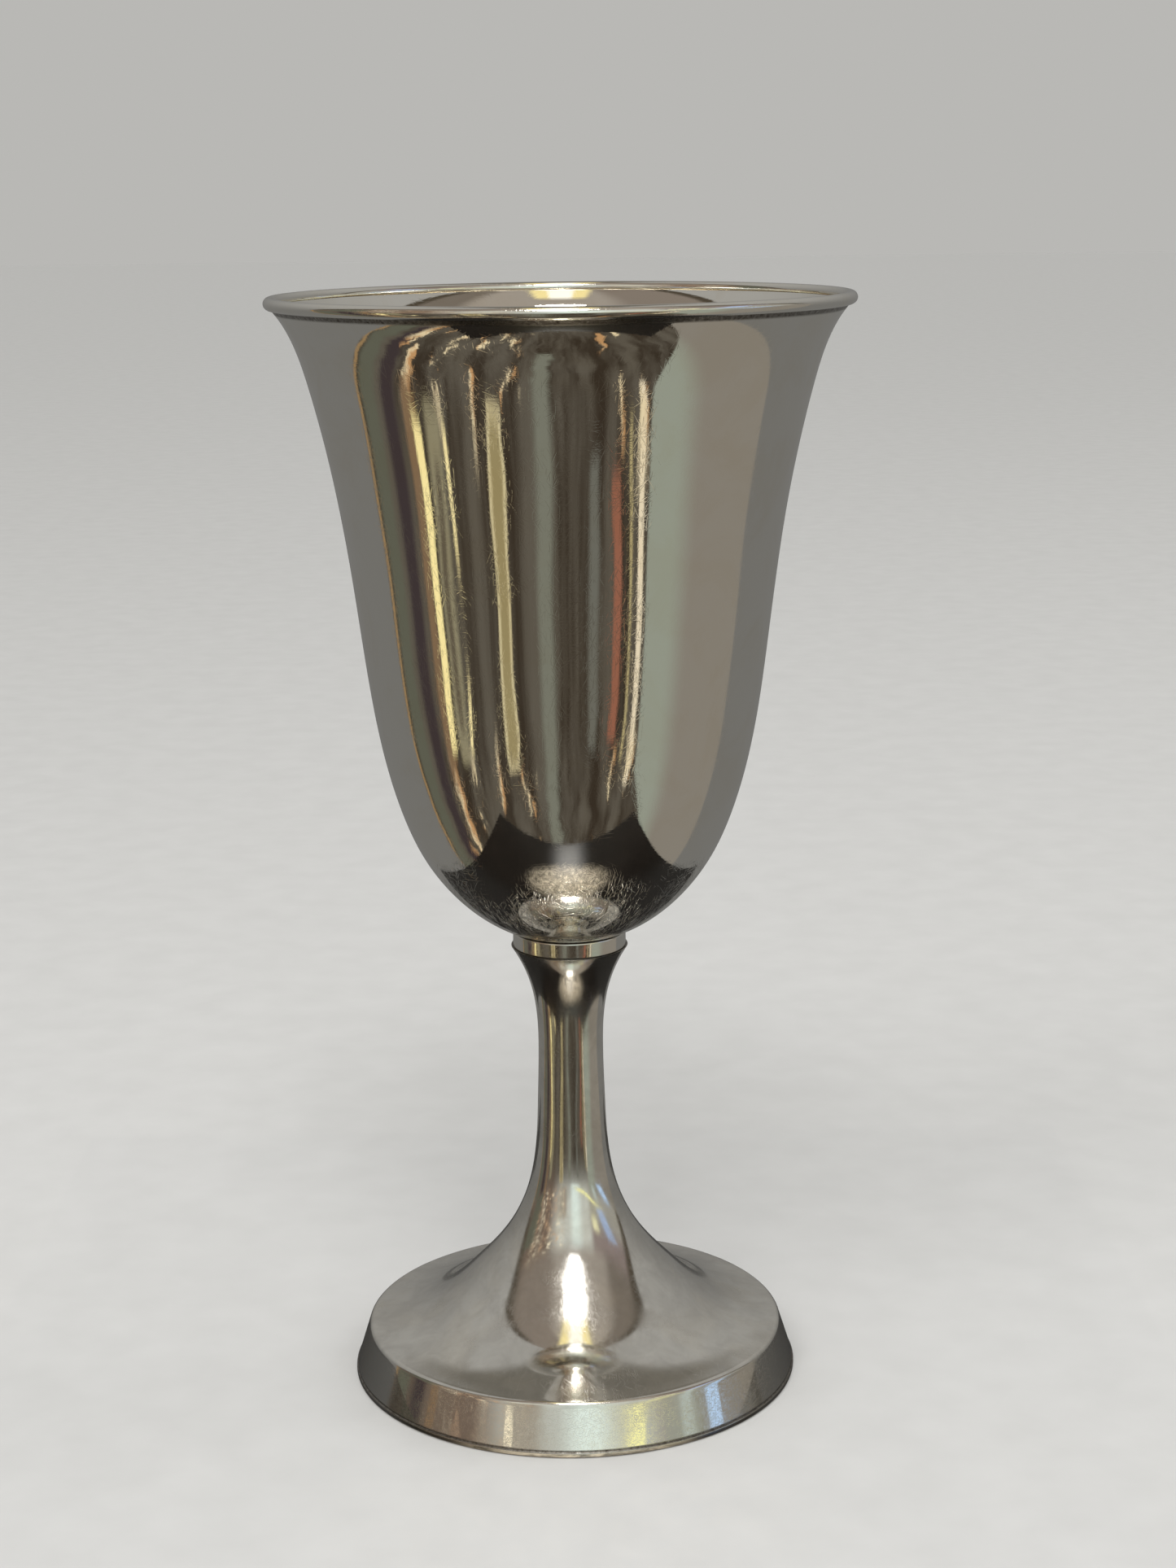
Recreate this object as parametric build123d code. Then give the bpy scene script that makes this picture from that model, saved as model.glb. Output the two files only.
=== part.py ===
from build123d import *
import os
from math import cos, radians, sin

# A turned, silver-plated communion chalice. Millimetres, +Z up along the turning axis.
# The origin is the middle of the circle that the foot stands on.
# Every outline is drawn as (radius, height) and revolved about Z.

# Overall sizes
HEIGHT = 171.5
RIM_R = 44.3
FOOT_R = 35.6
WALL = 0.9  # spun sheet of the bowl, the stem and the foot's top

# Bowl and lip
BOWL_BASE_Z = 71.4  # underside of the bowl, on the axis
RIM_WIRE_R = 0.95  # half the thickness of the bead along the lip
LIP_Z = 169.8  # where the outside of the bowl ends, inside the bead's section
LIP_ANGLE = 47.7  # degrees above level

# Collar between the bowl and the stem
STEM_TOP_Z = 70.4
STEM_TOP_R = 9.25
STEM_TOP_ANGLE = 56.8  # degrees above level
COLLAR_R = 8.9
COLLAR_BORE_R = 6.65
COLLAR_TOP_Z = 72.6  # where the collar's side ends and its rounded top edge starts
COLLAR_EDGE = 0.35

# Foot
SHOULDER_R = 33.4
SHOULDER_Z = 8.0  # where the foot's top meets its rounded edge
SHOULDER_ROUND = 0.8
SHOULDER_SLOPE = 7.0  # degrees that the foot's top falls outwards at that edge
FOOT_WIRE_H = 1.0
FOOT_WIRE_W = 2.2
FOOT_WIRE_ROUND = 0.35
BAND_FOOT_R = 35.4  # outside of the slanted band where it meets the foot wire

# Tie stud and the parts that it clamps (M5 hardware, threads as plain cylinders)
STUD_R = 2.5
STUD_END_Z = 11.0
STUD_TOP_Z = 69.4
STUD_CHAMFER = 0.5
THREAD_GAP = 0.02
STUD_HOLE_R = 2.75
BOSS_R = 6.5
BOSS_FLANGE_Z = 70.6
SPIGOT_R = 4.1
SPIGOT_END_Z = 62.5
SPIGOT_GAP = 0.05
STEM_CAP_Z = 68.4
CLAMP_SEAT_Z = 21.2
CLAMP_THICKNESS = 2.2
SPRING_WASHER_R = 4.6
SPRING_WASHER_H = 1.2
SPRING_WASHER_SLOT = 0.8
NUT_ACROSS_FLATS = 8.0
NUT_H = 4.7
NUT_CHAMFER_R = 3.75

CURVE_STEPS = 48  # points that carry an outside curve to its inside copy


def direction(degrees):
    """Unit (radius, height) direction at an angle above level outwards."""
    return (cos(radians(degrees)), sin(radians(degrees)))


def smooth_curve(points, start_angle, end_angle):
    """Curve through the points that leaves the first and reaches the last at the given angles."""
    tangents = [direction(start_angle), direction(end_angle)]
    return Spline(*points, tangents=tangents, tangent_scalars=[1, 1])


def bowl_outside():
    """Outside of the bowl from the axis up to the lip: round bottom, nearly straight side, flared lip."""
    points = [
        (0, BOWL_BASE_Z),
        (7.2, 72.4),
        (22.6, 85.4),
        (25.4, 91.5),
        (31.4, 121.3),
        (33.5, 136.6),
        (38.0, 158.1),
        (RIM_R - RIM_WIRE_R, LIP_Z),
    ]
    return smooth_curve(points, 0, LIP_ANGLE)


def shoulder_top():
    """Point on the foot's top where its rounded edge starts."""
    return (SHOULDER_R - SHOULDER_ROUND * (1 - sin(radians(SHOULDER_SLOPE))), SHOULDER_Z)


def foot_seam_z():
    """Height of the seam between the foot's top and the foot band."""
    return SHOULDER_Z - WALL * cos(radians(SHOULDER_SLOPE))


def stem_outside():
    """Outside of the stem and the foot's top, from the foot's shoulder up to the thin edge under the collar."""
    points = [
        shoulder_top(),
        (24.4, 10.0),
        (16.6, 16.0),
        (10.4, 23.3),
        (7.6, 29.0),
        (5.4, 45.4),
        (5.2, 52.7),
        (6.3, 64.0),
        (STEM_TOP_R, STEM_TOP_Z),
    ]
    return smooth_curve(points, 180 - SHOULDER_SLOPE, STEM_TOP_ANGLE)


def inside_of(outside):
    """Copy of an outside curve one wall thickness further in, to the left of its direction."""
    points = []
    for step in range(CURVE_STEPS + 1):
        place = outside.position_at(step / CURVE_STEPS)
        along = outside.tangent_at(step / CURVE_STEPS)
        points.append((place.X - WALL * along.Y, place.Y + WALL * along.X))
    return Spline(*points)


def turned(outline):
    """Solid of a closed outline of (radius, height) edges revolved about Z."""
    return revolve(Plane.XZ * make_face(outline), Axis.Z)


def disc(radius, low_z, high_z, bore_r=0.0):
    """Flat round plate between two heights, with a hole on the axis if it has a bore."""
    plate = Pos(0, 0, low_z) * Cylinder(radius, high_z - low_z, align=(Align.CENTER, Align.CENTER, Align.MIN))
    if bore_r:
        hole = Pos(0, 0, low_z) * Cylinder(bore_r, high_z - low_z, align=(Align.CENTER, Align.CENTER, Align.MIN))
        plate = plate - hole
    return plate


def bowl_block():
    """The bowl with its inside filled, for cutting the seats under it."""
    outside = bowl_outside()
    top = outside @ 1
    closing = Polyline((top.X, top.Y), (0, top.Y), (0, BOWL_BASE_Z))
    return turned([outside, *closing.edges()])


def stem_hollow():
    """The space inside the stem and the foot's top."""
    inside = inside_of(stem_outside())
    low = inside @ 0
    high = inside @ 1
    closing = Polyline((high.X, high.Y), (0, high.Y), (0, low.Y), (low.X, low.Y))
    return turned([inside, *closing.edges()])


def rim_wire():
    """Round bead soldered along the lip."""
    return Pos(0, 0, HEIGHT - RIM_WIRE_R) * Torus(RIM_R - RIM_WIRE_R, RIM_WIRE_R)


def bowl():
    """Spun cup, its edge hollowed to sit against the bead."""
    outside = bowl_outside()
    inside = inside_of(outside)
    lip = Line(outside @ 1, inside @ 1)
    base = Line(inside @ 0, outside @ 0)
    return turned([outside, lip, inside, base]) - rim_wire()


def bowl_boss():
    """Boss soldered under the bowl, with a spigot down into the stem and a blind hole for the stud."""
    flange = disc(BOSS_R, BOSS_FLANGE_Z, COLLAR_TOP_Z)
    spigot = disc(SPIGOT_R, SPIGOT_END_Z, BOSS_FLANGE_Z)
    stud_hole = disc(STUD_R + THREAD_GAP, SPIGOT_END_Z, STUD_TOP_Z + THREAD_GAP)
    return flange + spigot - bowl_block() - stud_hole


def collar():
    """Short ring around the boss, its top cut to the bowl and its outer top edge rounded."""
    side_top = (COLLAR_R, COLLAR_TOP_Z)
    round_top = (COLLAR_R - COLLAR_EDGE, COLLAR_TOP_Z + COLLAR_EDGE)
    side = Line((COLLAR_R, STEM_TOP_Z), side_top)
    edge = JernArc(side_top, tangent=(0, 1), radius=COLLAR_EDGE, arc_size=90)
    rest = Polyline(
        round_top,
        (COLLAR_BORE_R, COLLAR_TOP_Z + COLLAR_EDGE),
        (COLLAR_BORE_R, STEM_TOP_Z),
        (COLLAR_R, STEM_TOP_Z),
    )
    return turned([side, edge, *rest.edges()]) - bowl_block()


def stem_foot():
    """Spun trumpet: the stem and the foot's top in one piece, with a rounded shoulder at its edge."""
    outside = stem_outside()
    inside = inside_of(outside)
    mouth = Line(outside @ 1, inside @ 1)
    round_low = (SHOULDER_R, SHOULDER_Z - SHOULDER_ROUND * cos(radians(SHOULDER_SLOPE)))
    lower = Polyline(inside @ 0, (SHOULDER_R, foot_seam_z()), round_low)
    shoulder = JernArc(round_low, tangent=(0, 1), radius=SHOULDER_ROUND, arc_size=90 - SHOULDER_SLOPE)
    trumpet = turned([outside, mouth, inside, *lower.edges(), shoulder])
    return trumpet - disc(2 * STEM_TOP_R, STEM_TOP_Z, STEM_TOP_Z + WALL)


def stem_cap():
    """Disc soldered in the stem's mouth, bored for the boss's spigot."""
    return stem_hollow() & disc(STEM_TOP_R, STEM_CAP_Z, STEM_TOP_Z, SPIGOT_R + SPIGOT_GAP)


def foot_band():
    """Slanted strip between the foot's top and the foot wire."""
    outline = Polyline(
        (BAND_FOOT_R, FOOT_WIRE_H),
        (SHOULDER_R, foot_seam_z()),
        (SHOULDER_R - WALL, foot_seam_z()),
        (BAND_FOOT_R - WALL, FOOT_WIRE_H),
        close=True,
    )
    return turned(outline.edges())


def foot_wire():
    """Flat wire along the bottom of the foot band, with its outer corners rounded."""
    inner_r = FOOT_R - FOOT_WIRE_W
    round_r = FOOT_R - FOOT_WIRE_ROUND
    side_top = (FOOT_R, FOOT_WIRE_H - FOOT_WIRE_ROUND)
    low_round = JernArc((round_r, 0), tangent=(1, 0), radius=FOOT_WIRE_ROUND, arc_size=90)
    side = Line((FOOT_R, FOOT_WIRE_ROUND), side_top)
    high_round = JernArc(side_top, tangent=(0, 1), radius=FOOT_WIRE_ROUND, arc_size=90)
    rest = Polyline((round_r, FOOT_WIRE_H), (inner_r, FOOT_WIRE_H), (inner_r, 0), (round_r, 0))
    return turned([low_round, side, high_round, *rest.edges()])


def tie_stud():
    """Threaded rod from the nut under the foot up into the boss."""
    rod = disc(STUD_R, STUD_END_Z, STUD_TOP_Z)
    ends = rod.edges().filter_by(GeomType.CIRCLE)
    return chamfer(ends, STUD_CHAMFER)


def clamp_washer():
    """Turned plate that seats against the inside of the flare."""
    low_z = CLAMP_SEAT_Z - CLAMP_THICKNESS
    return stem_hollow() & disc(FOOT_R, low_z, CLAMP_SEAT_Z, STUD_HOLE_R)


def spring_washer():
    """Split washer between the clamp washer and the nut."""
    high_z = CLAMP_SEAT_Z - CLAMP_THICKNESS
    low_z = high_z - SPRING_WASHER_H
    slot = Pos(SPRING_WASHER_R, 0, low_z) * Box(2 * SPRING_WASHER_R, SPRING_WASHER_SLOT, 4 * SPRING_WASHER_H)
    return disc(SPRING_WASHER_R, low_z, high_z, STUD_HOLE_R) - slot


def clamp_nut():
    """Hexagon nut, chamfered at both ends, with a threaded hole."""
    high_z = CLAMP_SEAT_Z - CLAMP_THICKNESS - SPRING_WASHER_H
    low_z = high_z - NUT_H
    flats = RegularPolygon(NUT_ACROSS_FLATS / 2, 6, major_radius=False)
    hexagon = Pos(0, 0, low_z) * extrude(flats, NUT_H)
    widest_r = NUT_CHAMFER_R + NUT_H
    middle_z = (low_z + high_z) / 2
    cones = Polyline(
        (0, low_z),
        (NUT_CHAMFER_R, low_z),
        (widest_r, middle_z),
        (NUT_CHAMFER_R, high_z),
        (0, high_z),
        close=True,
    )
    return (hexagon & turned(cones.edges())) - disc(STUD_R + THREAD_GAP, low_z, high_z)


PIECES = {
    "bowl": bowl,
    "rim_wire": rim_wire,
    "bowl_boss": bowl_boss,
    "collar": collar,
    "stem_foot": stem_foot,
    "stem_cap": stem_cap,
    "foot_band": foot_band,
    "foot_wire": foot_wire,
    "tie_stud": tie_stud,
    "clamp_washer": clamp_washer,
    "spring_washer": spring_washer,
    "clamp_nut": clamp_nut,
}

os.makedirs("parts", exist_ok=True)
for name, make in PIECES.items():
    export_step(make(), f"parts/{name}.step")
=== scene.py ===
"""Looks of a silver-plated communion chalice, built around its CAD model.

Outlines and markings are in millimetres, and everything that Blender places is in metres.
"""

from collections import namedtuple
from math import cos, pi, radians, sin, tan

import bmesh
import bpy
import numpy as np
from mathutils import Matrix, Vector


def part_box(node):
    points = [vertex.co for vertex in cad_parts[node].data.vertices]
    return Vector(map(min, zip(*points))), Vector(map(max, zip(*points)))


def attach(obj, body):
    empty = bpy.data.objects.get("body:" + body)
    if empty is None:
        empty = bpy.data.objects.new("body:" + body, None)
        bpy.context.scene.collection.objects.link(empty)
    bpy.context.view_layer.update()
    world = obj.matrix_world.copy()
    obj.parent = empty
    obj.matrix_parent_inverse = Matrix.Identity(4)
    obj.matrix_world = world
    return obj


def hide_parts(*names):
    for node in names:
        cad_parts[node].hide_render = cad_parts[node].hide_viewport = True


MM = 0.001

# Outlines of the spun shells, the same as in the CAD model: (radius, height) points, and the angles in
# degrees at their ends
WALL = 0.9
RIM_WIRE_R = 0.95
LIP_Z = 169.8
LIP_ANGLE = 47.7
BOWL_BASE_Z = 71.4
BOWL_POINTS = [(7.2, 72.4), (22.6, 85.4), (25.4, 91.5), (31.4, 121.3), (33.5, 136.6), (38.0, 158.1)]
STEM_TOP_R = 9.25
STEM_TOP_ANGLE = 56.8
STEM_POINTS = [
    (24.4, 10.0),
    (16.6, 16.0),
    (10.4, 23.3),
    (7.6, 29.0),
    (5.4, 45.4),
    (5.2, 52.7),
    (6.3, 64.0),
]
SHOULDER_Z = 8.0
SHOULDER_ROUND = 0.8
SHOULDER_SLOPE = 7.0
SHOULDER_START = 17.5  # degrees round from level where the shoulder runs on from the slanted band
COLLAR_BORE_R = 6.65
COLLAR_EDGE = 0.35  # round of the top edge
COLLAR_FOOT_ROUND = 0.12
COLLAR_LAND = 0.1  # between the top edge's round and the seat under the bowl
COLLAR_SEAT_POINTS = 6
MOUTH_TRIM = 0.05  # below the stem's top edge, where its inner surface stops
MOUTH_FLARE = 0.1  # that the top edge's inner corner lies outside the end of that surface
FOOT_WIRE_W = 2.2
FOOT_WIRE_ROUND = 0.35
BAND_FOOT_R = 35.4

# Unevenness of the spun and hand-buffed surfaces
WAVE_SEED = 7
WAVE_R = 33.0
WAVE_TURNS = range(3, 15)  # waves round the object
WAVE_SLOPE = 0.0013
OVAL = 0.015
OVAL_PHASE = 0.7
SINK = 0.6  # share of the waves' total depth that they all lie inside the true round
FADE_R = 6.0  # radius within which the waves fade out
INSIDE_WOBBLE = 0.3  # share of the waves that the bowl's inside keeps
COLLAR_WOBBLE = 0.3

# Fineness of the turned meshes
SEGMENTS = 384
CURVE_STEP = 0.5  # mm between rings along a smooth outline
ARC_STEP = 8.0  # degrees between rings along a small round
WELD_REACH = 0.5e-6  # metres
CRISP_ANGLE = 32  # degrees between faces, above which an edge stays crisp

# The camera, at the photograph's viewing angle
CAMERA_AT = (0.0, -0.4063, 0.1883)
CAMERA_PITCH = -12.78
CAMERA_YAW = 0.455
CAMERA_ROLL = -0.697
LENS = 61.46
SENSOR_WIDTH = 36.0
CLIP_START = 0.01

# The stage
FLOOR_HALF = 6.0
OBJECT_MIDDLE = (0, 0, 0.09)
CARD_HALF_WIDTH = 0.097
CARD_DEPTH = (-0.098, 0.107)
# Place and size of the painted, glowing patch of light on the dark card
HOLE_SIDES = 96
PAINTED_GLOW_Y = -0.053
PAINTED_GLOW_HALF_WIDTH = 0.046
PAINTED_GLOW_HALF_DEPTH = 0.027
MIRROR_BOUNCES = 12  # reflections of reflections, which the inside of the bowl needs

# Boards, strips and windows that the silver reflects: left, right, bottom and top in degrees, degrees that
# they lean to the right for each degree up, softness of their sides in degrees, and colour
BOARDS = [
    (-109.6, -107.6, -70.0, 4.0, 0.0, 0.4, (0.30, 0.20, 0.10)),
    (-106.5, -97.0, -60.0, 3.0, 0.0, 2.0, (0.115, 0.118, 0.090)),
    (-93.0, -85.0, -60.0, 2.0, 0.0, 2.0, (0.050, 0.038, 0.040)),
    (-81.0, -76.5, -33.0, 5.0, 0.0, 1.0, (0.22, 0.145, 0.085)),
    (-76.8, -72.6, -27.5, -9.0, 0.15, 0.5, (1.0, 0.86, 0.42)),
    (-70.0, -62.5, -30.0, -2.0, 0.0, 1.6, (0.27, 0.245, 0.16)),
    (-67.0, -64.0, -26.0, -10.0, -0.3, 1.0, (0.12, 0.10, 0.07)),
    (-61.5, -59.6, -29.0, -23.2, 0.3, 0.4, (0.95, 0.82, 0.44)),
    (-38.0, -30.0, -33.5, 1.0, 0.0, 0.4, (0.62, 0.54, 0.33)),
    (-36.6, -31.4, -32.5, 1.0, 0.0, 0.5, (0.32, 0.265, 0.135)),
    (-14.0, -6.0, -52.0, 0.0, 0.0, 2.0, (0.190, 0.195, 0.160)),
    (13.5, 18.5, -31.0, 0.0, 0.0, 1.5, (0.150, 0.150, 0.130)),
    (24.8, 29.0, -29.5, -12.0, 0.3, 0.6, (0.30, 0.125, 0.080)),
    (33.5, 35.0, -32.0, -4.0, 0.2, 0.5, (0.45, 0.38, 0.20)),
    (38.2, 41.0, -36.0, -4.0, 0.15, 0.4, (0.82, 0.72, 0.54)),
    (-98.0, -80.0, 3.0, 30.0, 0.0, 1.5, (0.115, 0.118, 0.090)),
    (-36.0, -18.0, 4.0, 22.0, 0.0, 5.0, (0.34, 0.31, 0.26)),
    (-4.0, 17.0, 3.0, 44.0, 0.0, 8.0, (0.78, 0.90, 0.87)),
    (4.0, 19.5, 5.0, 12.5, 7.0, 0.7, (1.0, 0.98, 0.47)),
    (42.0, 54.0, 20.0, 28.0, 0.4, 0.8, (1.0, 0.98, 0.62)),
    (58.0, 71.0, 14.0, 30.0, 0.9, 1.2, (0.42, 0.54, 0.80)),
]

# The same, for windows in the large board on the right
RIGHT_WINDOWS = [
    (52.0, 60.0, 2.0, 9.0, 1.0, 2.0, (0.46, 0.52, 0.50)),
    (66.0, 77.0, 0.5, 8.0, 2.0, 0.8, (0.50, 0.69, 0.98)),
]
BOARD_END_SOFTNESS = 1.2  # degrees, at the bottom and top of every board

# Colours of the surround: what lights the object, and what the camera sees past the floor
SURROUND = (0.80, 0.80, 0.79)
HORIZON = (0.485, 0.480, 0.462)

# Colours of the rest of the room that the silver reflects
ROOM_DARK = (0.040, 0.030, 0.021)
ROOM_LIGHT = (0.115, 0.102, 0.082)
FRONT_LOW = (0.12, 0.11, 0.09)
FRONT_HIGH = (0.58, 0.60, 0.56)
RIGHT_LOW = (0.36, 0.35, 0.31)
RIGHT_HIGH = (0.27, 0.22, 0.21)
LEFT_UPPER = (0.16, 0.12, 0.095)
LARGE_BOARD_NEAR = (0.30, 0.325, 0.275)
LARGE_BOARD_FAR = (0.245, 0.225, 0.195)
SPOT_DARK = (0.52, 0.30, 0.14)
SPOT_LIGHT = (0.80, 0.68, 0.45)
CEILING_LEFT = (0.235, 0.200, 0.170)
CEILING_MIDDLE = (0.355, 0.320, 0.280)
CEILING_RIGHT = (0.185, 0.160, 0.135)
LAMP_SIDES = (1.0, 0.86, 0.42)
LAMP_CORE = (1.25, 1.22, 1.10)
CLUTTER_DARK = (0.62, 0.42, 0.27)
CLUTTER_LIGHT = (1.0, 0.90, 0.68)
BACKDROP_LOW = (0.175, 0.173, 0.166)
BACKDROP_HIGH = (0.37, 0.365, 0.35)
BACKDROP_GAP = (0.16, 0.15, 0.13)
BACKDROP_EDGE = (0.075, 0.062, 0.045)

# Colours of the stage
CARD_DARK = (0.006, 0.004, 0.003)
CARD_LIGHT = (0.011, 0.008, 0.006)
# Colour of the painted glow on the dark card
CARD_PAINTED_GLOW = (0.62, 0.54, 0.41)
FLOOR_DARK = (0.60, 0.595, 0.58)
FLOOR_LIGHT = (0.63, 0.625, 0.61)

# Colours of the metals
CLEAN_SILVER = (0.930, 0.905, 0.845)
FILMED_SILVER = (0.895, 0.850, 0.760)
# Dark brown of tarnish, also used as painted shade in the crevices along the seams
TARNISH_AND_SEAM_SHADE = (0.060, 0.042, 0.028)
BRASS = (0.74, 0.55, 0.25)
ZINC = (0.58, 0.59, 0.60)

# Polish of each silver piece: its least roughness, what finger film and what a scratch add to that, and the
# depth of its scratches and buffing lines
Polish = namedtuple("Polish", "gloss haze scratch relief")
BOWL_POLISH = Polish(gloss=0.012, haze=0.020, scratch=0.20, relief=0.020)
RIM_POLISH = Polish(gloss=0.03, haze=0.03, scratch=0.10, relief=0.002)
COLLAR_POLISH = Polish(gloss=0.03, haze=0.04, scratch=0.10, relief=0.002)
STEM_POLISH = Polish(gloss=0.045, haze=0.08, scratch=0.13, relief=0.0003)
BAND_POLISH = Polish(gloss=0.03, haze=0.06, scratch=0.12, relief=0.0025)
WIRE_POLISH = Polish(gloss=0.06, haze=0.08, scratch=0.12, relief=0.002)

# Families of hairline scratches, as lean in degrees, width and length
CROSSED = [
    (68, 0.22, 3.0),
    (-62, 0.20, 2.6),
    (35, 0.25, 3.6),
    (-28, 0.22, 3.0),
    (88, 0.20, 2.4),
    (4, 0.22, 4.0),
]
FINE_CROSS = [(62, 0.07, 1.2), (-50, 0.08, 1.0), (15, 0.07, 1.4), (-15, 0.08, 1.2), (85, 0.07, 1.0)]

# Waves per millimetre of the silver's markings
SMUDGE_SCALE = 0.085
FINE_SCALE = 1.9
PATCH_SCALE = 0.11
SPECK_SCALE = 0.62
CLOUD_SCALE = 0.20
BUFFED_ALONG = 0.10
BUFFED_ACROSS = 3.2
WORN_EDGE = 8.0  # height over which the heavy scratches of a worn underside die out
RING_DEPTH = 0.01  # of the tool rings on the unplated metals

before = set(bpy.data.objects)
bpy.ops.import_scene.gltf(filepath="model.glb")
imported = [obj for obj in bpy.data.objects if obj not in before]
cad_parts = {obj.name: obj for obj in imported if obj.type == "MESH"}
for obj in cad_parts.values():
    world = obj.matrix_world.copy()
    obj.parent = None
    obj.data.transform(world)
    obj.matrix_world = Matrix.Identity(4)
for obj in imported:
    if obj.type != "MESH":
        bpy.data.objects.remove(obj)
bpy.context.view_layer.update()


def top_mm(node):
    """Height of a CAD node's top."""
    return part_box(node)[1].z / MM


def base_mm(node):
    """Height of a CAD node's underside."""
    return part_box(node)[0].z / MM


def radius_mm(node):
    """Largest radius of a turned CAD node."""
    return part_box(node)[1].x / MM


# ---------------------------------------------------------------- outlines


def direction(degrees):
    """Unit vector at an angle."""
    return np.array([cos(radians(degrees)), sin(radians(degrees))])


def smooth_curve(points, start_angle, end_angle):
    """Points along the cubic curve through the given points that leaves and arrives at the given angles."""
    knots = np.array(points, float)
    gaps = np.hypot(*np.diff(knots, axis=0).T)
    slopes = np.diff(knots, axis=0) / gaps[:, None]
    count = len(knots)
    matrix = np.eye(count)
    right = np.zeros((count, 2))
    right[0] = direction(start_angle)
    right[-1] = direction(end_angle)
    for i in range(1, count - 1):
        matrix[i, i - 1] = 1 / gaps[i - 1]
        matrix[i, i] = 2 / gaps[i - 1] + 2 / gaps[i]
        matrix[i, i + 1] = 1 / gaps[i]
        right[i] = 3 * (slopes[i - 1] / gaps[i - 1] + slopes[i] / gaps[i])
    speeds = np.linalg.solve(matrix, right)
    made = [knots[:1]]
    for i, gap in enumerate(gaps):
        t = np.linspace(0, 1, max(2, int(gap / CURVE_STEP) + 1))[1:, None]
        made.append(
            knots[i] * (1 + 2 * t) * (1 - t) ** 2
            + knots[i + 1] * t**2 * (3 - 2 * t)
            + gap * speeds[i] * t * (1 - t) ** 2
            - gap * speeds[i + 1] * t**2 * (1 - t)
        )
    return np.vstack(made)


def moved_left(curve, distance):
    """Copy of a curve moved to the left of its direction."""
    along = np.gradient(curve, axis=0)
    along /= np.hypot(along[:, 0], along[:, 1])[:, None]
    return curve + distance * np.column_stack([-along[:, 1], along[:, 0]])


def arc(centre, radius, start, end):
    """Points along a round, from one angle to another, in degrees."""
    steps = max(2, int(abs(end - start) / ARC_STEP) + 1)
    turn = np.radians(np.linspace(start, end, steps))
    return np.column_stack([centre[0] + radius * np.cos(turn), centre[1] + radius * np.sin(turn)])


def straight(start, end):
    """Points along a line, so that a long side still has rings for its surface detail."""
    length = np.hypot(end[0] - start[0], end[1] - start[1])
    steps = max(2, int(length / CURVE_STEP) + 1)
    return np.linspace(start, end, steps)


def rounded(corners, radius):
    """Closed outline of straight sides whose corners are all rounded with one radius."""
    corners = np.array(corners, float)
    made = []
    for i, corner in enumerate(corners):
        before = corners[i - 1] - corner
        after = corners[(i + 1) % len(corners)] - corner
        before /= np.hypot(*before)
        after /= np.hypot(*after)
        half = np.arccos(np.clip(before @ after, -1, 1)) / 2
        middle = before + after
        centre = corner + middle / np.hypot(*middle) * radius / sin(half)
        first = corner + before * radius / tan(half) - centre
        last = corner + after * radius / tan(half) - centre
        start = np.degrees(np.arctan2(first[1], first[0]))
        sweep = (np.degrees(np.arctan2(last[1], last[0])) - start + 180) % 360 - 180
        made.append(arc(centre, radius, start, start + sweep))
    return np.vstack(made)


def bowl_outside():
    """The bowl's outer curve, from the axis up to the bead."""
    rim = (radius_mm("rim_wire") - RIM_WIRE_R, LIP_Z)
    return smooth_curve([(0, BOWL_BASE_Z), *BOWL_POINTS, rim], 0, LIP_ANGLE)


def shoulder_top():
    """Point on the foot's top where its rounded edge starts."""
    radius = radius_mm("stem_foot") - SHOULDER_ROUND * (1 - sin(radians(SHOULDER_SLOPE)))
    return (radius, SHOULDER_Z)


def shoulder_centre():
    """Centre of the round at the foot's edge."""
    radius = radius_mm("stem_foot") - SHOULDER_ROUND
    return (radius, SHOULDER_Z - SHOULDER_ROUND * cos(radians(SHOULDER_SLOPE)))


def stem_outside():
    """The trumpet's outer curve, from the foot's edge up to the collar."""
    points = [shoulder_top(), *STEM_POINTS, (STEM_TOP_R, top_mm("stem_foot"))]
    return smooth_curve(points, 180 - SHOULDER_SLOPE, STEM_TOP_ANGLE)


# ---------------------------------------------------------------- meshes


def uneven_waves():
    """Seeded long waves of a hand-buffed surface: turns round, radians per mm of height, phase and depth."""
    dice = np.random.RandomState(WAVE_SEED)
    waves = [(2, 0.0, OVAL_PHASE, OVAL)]
    for turns in WAVE_TURNS:
        length = 2 * pi * WAVE_R / turns
        climb = dice.uniform(-1, 1) * 2 * pi / length
        waves.append((turns, climb, dice.uniform(0, 2 * pi), WAVE_SLOPE * length / (2 * pi)))
    return waves


def hand_wobble(angle, height):
    """Millimetres that the surface lies outside its true round, nearly always below 0: it lies inside."""
    total = 0
    full_depth = 0
    for turns, climb, phase, depth in uneven_waves():
        total = total + depth * np.sin(turns * angle + climb * height + phase)
        full_depth = full_depth + depth
    return total - SINK * full_depth


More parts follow.
